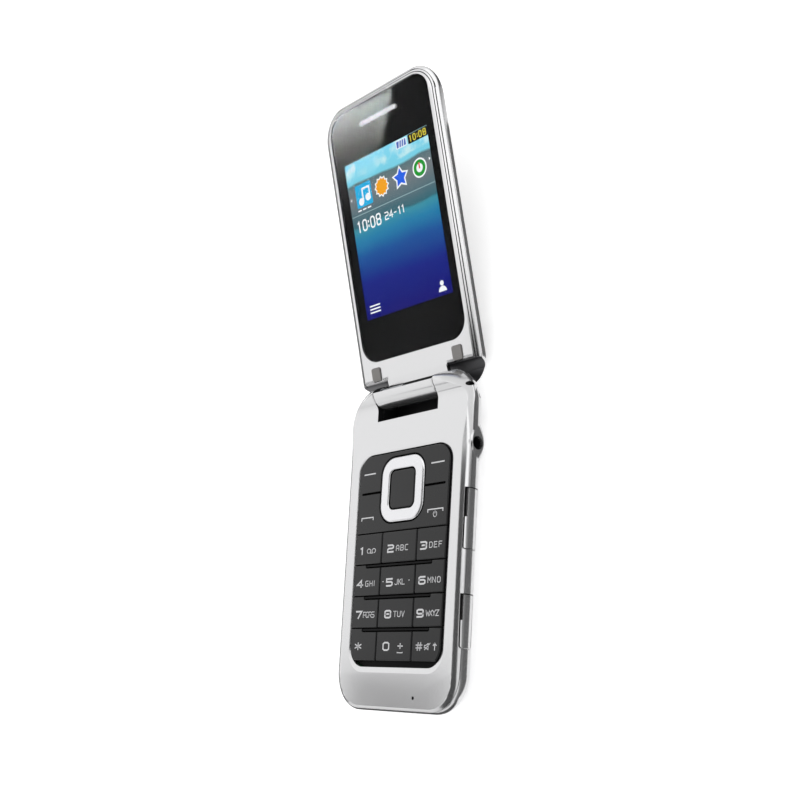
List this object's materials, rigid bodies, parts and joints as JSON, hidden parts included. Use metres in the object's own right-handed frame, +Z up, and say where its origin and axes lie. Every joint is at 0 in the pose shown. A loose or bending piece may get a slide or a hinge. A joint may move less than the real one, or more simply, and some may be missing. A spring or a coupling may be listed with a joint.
{
  "type": "flip phone",
  "caption": "Silver clamshell mobile phone lying open: black keypad half with jointed keys and silver navigation ring, and a hinged glass display lid raised on its open stop.",
  "frame": {"origin": "on the flat back of the keypad half, centred across its width and halfway along the keypad half's length, where the phone lies on a table", "axes": "+X to the phone's right as its keys are read, +Y along the phone from the microphone end towards the hinge and the lid, +Z up out of the keypad face"},
  "size_m": [0.0503, 0.1791, 0.0308],
  "materials": {
    "silver_paint": "smooth satin silver paint",
    "key_black": "gloss charcoal keys",
    "ring_silver": "bright silver",
    "black_plastic": "fine matt black",
    "rubber_black": "matt black silicone",
    "rubber_grey": "soft matt grey",
    "dome_film": "translucent film",
    "circuit_board": "green solder mask",
    "steel": "pressed sheet and turned steel",
    "gold_contact": "gold flash",
    "battery_label": "wrapped cell",
    "grille_metal": "bright perforated strip",
    "flex_film": "amber polyimide",
    "display_panel": "lit colour panel",
    "lens_black": "polished dark lens",
    "cover_glass": "polished, black border behind the screen opening"
  },
  "bodies": {
    "keypad_half": {"base_front_shell": "silver_paint", "base_rear_shell": "silver_paint", "base_chassis": "black_plastic", "key_mat": "rubber_black", "dome_sheet": "dome_film", "main_board": "circuit_board", "shield_cans": "steel", "battery": "battery_label", "battery_contacts": "gold_contact", "sim_holder": "steel", "card_slot": "steel", "usb_socket": "steel", "audio_jack": "black_plastic", "loudspeaker": "black_plastic", "speaker_grille": "grille_metal", "vibration_motor": "steel", "microphone": "steel", "antenna": "gold_contact", "case_screws": "steel", "base_flex": "flex_film", "hinge_bearings": "steel"},
    "lid": {"lid_inner_shell": "silver_paint", "lid_outer_shell": "silver_paint", "display_glass": "cover_glass", "lcd_module": "display_panel", "lid_board": "circuit_board", "earpiece": "black_plastic", "earpiece_grille": "grille_metal", "stop_pads": "rubber_grey", "hinge_pin": "steel", "hinge_cam": "steel", "lid_flex": "flex_film", "camera_module": "black_plastic", "camera_lens": "lens_black"},
    "key_1": {"key_1": "key_black"},
    "key_2": {"key_2": "key_black"},
    "key_3": {"key_3": "key_black"},
    "key_4": {"key_4": "key_black"},
    "key_5": {"key_5": "key_black"},
    "key_6": {"key_6": "key_black"},
    "key_7": {"key_7": "key_black"},
    "key_8": {"key_8": "key_black"},
    "key_9": {"key_9": "key_black"},
    "key_star": {"key_star": "key_black"},
    "key_0": {"key_0": "key_black"},
    "key_hash": {"key_hash": "key_black"},
    "soft_key_left": {"soft_key_left": "key_black"},
    "soft_key_right": {"soft_key_right": "key_black"},
    "call_key": {"call_key": "key_black"},
    "end_key": {"end_key": "key_black"},
    "nav_ring": {"nav_ring": "ring_silver"},
    "select_key": {"select_key": "key_black"},
    "volume_key": {"volume_key": "silver_paint"},
    "usb_cover": {"usb_cover": "silver_paint"},
    "card_cover": {"card_cover": "silver_paint"},
    "battery_cover": {"battery_cover": "silver_paint"}
  },
  "joints": [
    {"name": "lid_hinge", "type": "hinge", "parent": "keypad_half", "child": "lid", "pos_m": [0, 0.0439, 0.00827], "axis": [1, 0, 0], "range_deg": [0, 163.75]},
    {"name": "key_1_press", "type": "slide", "parent": "keypad_half", "child": "key_1", "axis": [0, 0, -1], "range_m": [0, 0.00035], "stiffness_N_per_m": 300},
    {"name": "key_2_press", "type": "slide", "parent": "keypad_half", "child": "key_2", "axis": [0, 0, -1], "range_m": [0, 0.00035], "stiffness_N_per_m": 300},
    {"name": "key_3_press", "type": "slide", "parent": "keypad_half", "child": "key_3", "axis": [0, 0, -1], "range_m": [0, 0.00035], "stiffness_N_per_m": 300},
    {"name": "key_4_press", "type": "slide", "parent": "keypad_half", "child": "key_4", "axis": [0, 0, -1], "range_m": [0, 0.00035], "stiffness_N_per_m": 300},
    {"name": "key_5_press", "type": "slide", "parent": "keypad_half", "child": "key_5", "axis": [0, 0, -1], "range_m": [0, 0.00035], "stiffness_N_per_m": 300},
    {"name": "key_6_press", "type": "slide", "parent": "keypad_half", "child": "key_6", "axis": [0, 0, -1], "range_m": [0, 0.00035], "stiffness_N_per_m": 300},
    {"name": "key_7_press", "type": "slide", "parent": "keypad_half", "child": "key_7", "axis": [0, 0, -1], "range_m": [0, 0.00035], "stiffness_N_per_m": 300},
    {"name": "key_8_press", "type": "slide", "parent": "keypad_half", "child": "key_8", "axis": [0, 0, -1], "range_m": [0, 0.00035], "stiffness_N_per_m": 300},
    {"name": "key_9_press", "type": "slide", "parent": "keypad_half", "child": "key_9", "axis": [0, 0, -1], "range_m": [0, 0.00035], "stiffness_N_per_m": 300},
    {"name": "key_star_press", "type": "slide", "parent": "keypad_half", "child": "key_star", "axis": [0, 0, -1], "range_m": [0, 0.00035], "stiffness_N_per_m": 300},
    {"name": "key_0_press", "type": "slide", "parent": "keypad_half", "child": "key_0", "axis": [0, 0, -1], "range_m": [0, 0.00035], "stiffness_N_per_m": 300},
    {"name": "key_hash_press", "type": "slide", "parent": "keypad_half", "child": "key_hash", "axis": [0, 0, -1], "range_m": [0, 0.00035], "stiffness_N_per_m": 300},
    {"name": "soft_key_left_press", "type": "slide", "parent": "keypad_half", "child": "soft_key_left", "axis": [0, 0, -1], "range_m": [0, 0.00035], "stiffness_N_per_m": 300},
    {"name": "soft_key_right_press", "type": "slide", "parent": "keypad_half", "child": "soft_key_right", "axis": [0, 0, -1], "range_m": [0, 0.00035], "stiffness_N_per_m": 300},
    {"name": "call_key_press", "type": "slide", "parent": "keypad_half", "child": "call_key", "axis": [0, 0, -1], "range_m": [0, 0.00035], "stiffness_N_per_m": 300},
    {"name": "end_key_press", "type": "slide", "parent": "keypad_half", "child": "end_key", "axis": [0, 0, -1], "range_m": [0, 0.00035], "stiffness_N_per_m": 300},
    {"name": "nav_ring_press", "type": "slide", "parent": "keypad_half", "child": "nav_ring", "axis": [0, 0, -1], "range_m": [0, 0.00035], "stiffness_N_per_m": 300},
    {"name": "select_key_press", "type": "slide", "parent": "keypad_half", "child": "select_key", "axis": [0, 0, -1], "range_m": [0, 0.00035], "stiffness_N_per_m": 300},
    {"name": "volume_key_press", "type": "slide", "parent": "keypad_half", "child": "volume_key", "axis": [1, 0, 0], "range_m": [0, 0.0004], "stiffness_N_per_m": 300},
    {"name": "usb_cover_hinge", "type": "hinge", "parent": "keypad_half", "child": "usb_cover", "pos_m": [0.02445, -0.00415, 0.0072], "axis": [0, 0, -1], "range_deg": [0, 90]},
    {"name": "card_cover_hinge", "type": "hinge", "parent": "keypad_half", "child": "card_cover", "pos_m": [0.02445, -0.02945, 0.0072], "axis": [0, 0, -1], "range_deg": [0, 90]},
    {"name": "battery_cover_slide", "type": "slide", "parent": "keypad_half", "child": "battery_cover", "axis": [0, -1, 0], "range_m": [0, 0.01]}
  ]
}
